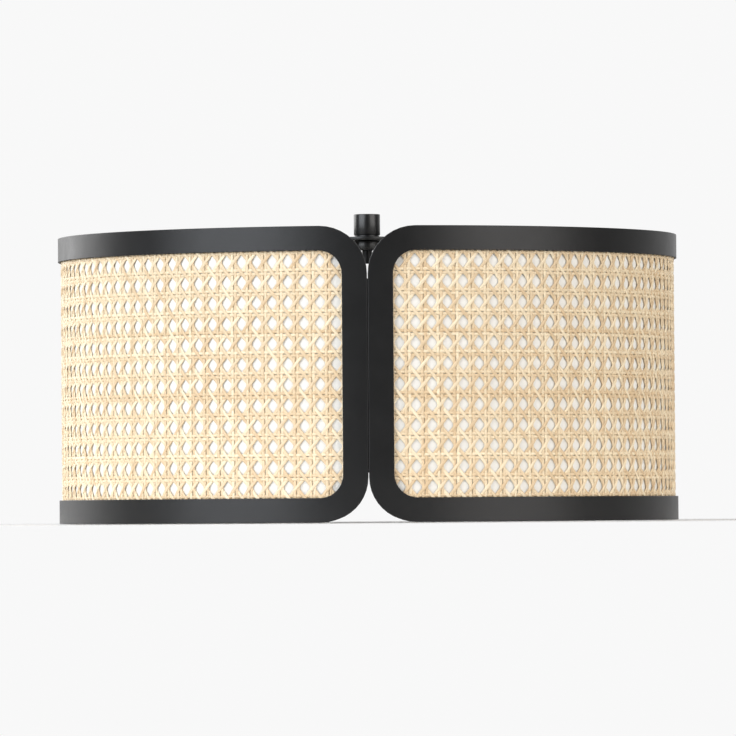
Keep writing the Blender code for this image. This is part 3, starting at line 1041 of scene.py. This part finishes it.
knob_line = [(0.0, knob_high.z - knob_roof), (knob_bore, knob_high.z - knob_roof)]
knob_line += [(knob_bore, knob_low.z + bore_chamfer), (knob_bore + bore_chamfer, knob_low.z)]
knob_line += eased_corner(knob_radius, knob_low.z, -1, 1, knob_edge)
knob_line += reversed(eased_corner(knob_radius, knob_high.z, -1, -1, knob_edge))
knob_line += [(0.0, knob_high.z)]
knob = draw_line("screw_knob", knob_line)
spin_profile(knob, round_facets)
smooth(knob)
finish_piece(knob, "knob", black_metal, "knob")

washer_line = [(knob_bore, washer_low.z)]
washer_line += eased_corner(washer_high.x, washer_low.z, -1, 1, washer_edge)
washer_line += reversed(eased_corner(washer_high.x, washer_high.z, -1, -1, washer_edge))
washer_line += [(knob_bore, washer_high.z), (knob_bore, washer_low.z)]
washer = draw_line("plain_washer", washer_line, closed=True)
spin_profile(washer, round_facets)
smooth(washer)
finish_piece(washer, "knob_lift", black_metal, "knob_washer")


# ---- Floor, light and camera --------------------------------------------------------------
# The shade stands on a wide pale floor that runs into an even pale surround. Two soft boxes in
# front light it, the left one stronger, with a weak third behind. The camera sees the surround
# bright and even, while the shade is lit by a darker room with a bright wall behind it.
surround = 0.94
wall_light = 1.25
wall_start = 0.1
wall_full = 0.9
room_light = 0.12
floor_light = 0.24
floor_fade_start = 0.30
floor_fade_end = 0.9
floor_drop = 0.0006
floor_reach = 60.0

bpy.ops.object.select_all(action="DESELECT")
bpy.ops.mesh.primitive_plane_add(size=2 * floor_reach, location=(0, 0, -floor_drop))
floor = bpy.context.object
floor.name = "floor"
settle(floor)
floor_material, tree, shader = new_material("pale_floor", (0.90, 0.90, 0.90), 0.9)
place = node(tree, "ShaderNodeTexCoord")
from_middle = node(tree, "ShaderNodeVectorMath")
from_middle.operation = "LENGTH"
link(tree, place, "Object", from_middle, 0)
fade = node(tree, "ShaderNodeMapRange")
fade.interpolation_type = "SMOOTHSTEP"
fade.inputs["From Min"].default_value = floor_fade_start
fade.inputs["From Max"].default_value = floor_fade_end
link(tree, from_middle, "Value", fade, "Value")
seen = tree.nodes.new("ShaderNodeLightPath")
given = node(tree, "ShaderNodeMapRange")
given.inputs["To Min"].default_value = floor_light
link(tree, seen, "Is Camera Ray", given, "Value")
glow = node(tree, "ShaderNodeEmission", Color=(surround, surround, surround, 1))
link(tree, given, "Result", glow, "Strength")
mix = tree.nodes.new("ShaderNodeMixShader")
link(tree, fade, "Result", mix, 0)
link(tree, shader, "BSDF", mix, 1)
link(tree, glow, "Emission", mix, 2)
link(tree, mix, "Shader", tree.nodes["Material Output"], "Surface")
floor.data.materials.append(floor_material)

world = bpy.data.worlds.new("pale_surround")
world.use_nodes = True
bpy.context.scene.world = world
tree = world.node_tree
backdrop = tree.nodes["Background"]
backdrop.inputs["Color"].default_value = (surround, surround, surround, 1)
direction = node(tree, "ShaderNodeTexCoord")
depth = node(tree, "ShaderNodeSeparateXYZ")
link(tree, direction, "Generated", depth, "Vector")
brightness = node(tree, "ShaderNodeMapRange")
brightness.inputs["From Min"].default_value = wall_start
brightness.inputs["From Max"].default_value = wall_full
brightness.inputs["To Min"].default_value = room_light
brightness.inputs["To Max"].default_value = wall_light
link(tree, depth, "Y", brightness, "Value")
room = tree.nodes.new("ShaderNodeBackground")
link(tree, brightness, "Result", room, "Strength")
seen = tree.nodes.new("ShaderNodeLightPath")
either = tree.nodes.new("ShaderNodeMixShader")
link(tree, seen, "Is Camera Ray", either, 0)
link(tree, room, "Background", either, 1)
link(tree, backdrop, "Background", either, 2)
link(tree, either, "Shader", tree.nodes["World Output"], "Surface")


def soft_light(name, place, size, power, colour):
    """A square soft box that faces the middle of the shade."""
    lamp = bpy.data.lights.new(name, "AREA")
    lamp.shape = "RECTANGLE"
    lamp.size = size
    lamp.size_y = size
    lamp.energy = power
    lamp.color = colour
    holder = bpy.data.objects.new(name, lamp)
    bpy.context.scene.collection.objects.link(holder)
    holder.location = place
    aim = Vector((0, 0, drum_height / 2)) - Vector(place)
    holder.rotation_euler = aim.to_track_quat("-Z", "Y").to_euler()


cool = (0.96, 1.0, 1.06)
warm = (1.0, 0.97, 0.95)
white = (1.0, 1.0, 1.0)
soft_light("key_soft_box", place=(-2.3, -2.1, 1.2), size=3.0, power=128.0, colour=cool)
soft_light("fill_soft_box", place=(2.6, -2.1, 1.2), size=3.0, power=94.0, colour=warm)
soft_light("rim_soft_box", place=(-2.3, 1.9, 1.2), size=2.2, power=40.0, colour=white)

bpy.context.scene.view_settings.view_transform = "Standard"

camera_distance = 6.36
camera_height = 0.012
share_of_width = 0.84
camera_lean = math.radians(0.43)
sensor = 36.0
sight = 200.0
lens_data = bpy.data.cameras.new("studio_camera")
lens_data.sensor_width = sensor
lens_data.lens = share_of_width * sensor * camera_distance / (2 * drum_radius)
lens_data.clip_end = sight
camera = bpy.data.objects.new("studio_camera", lens_data)
bpy.context.scene.collection.objects.link(camera)
camera.location = (0, -camera_distance, camera_height)
aim = Vector((0, 0, knob_high.z / 2)) - camera.location
turn = aim.to_track_quat("-Z", "Y").to_matrix().to_4x4()
camera.rotation_euler = (turn @ Matrix.Rotation(-camera_lean, 4, "Z")).to_euler()
bpy.context.scene.camera = camera
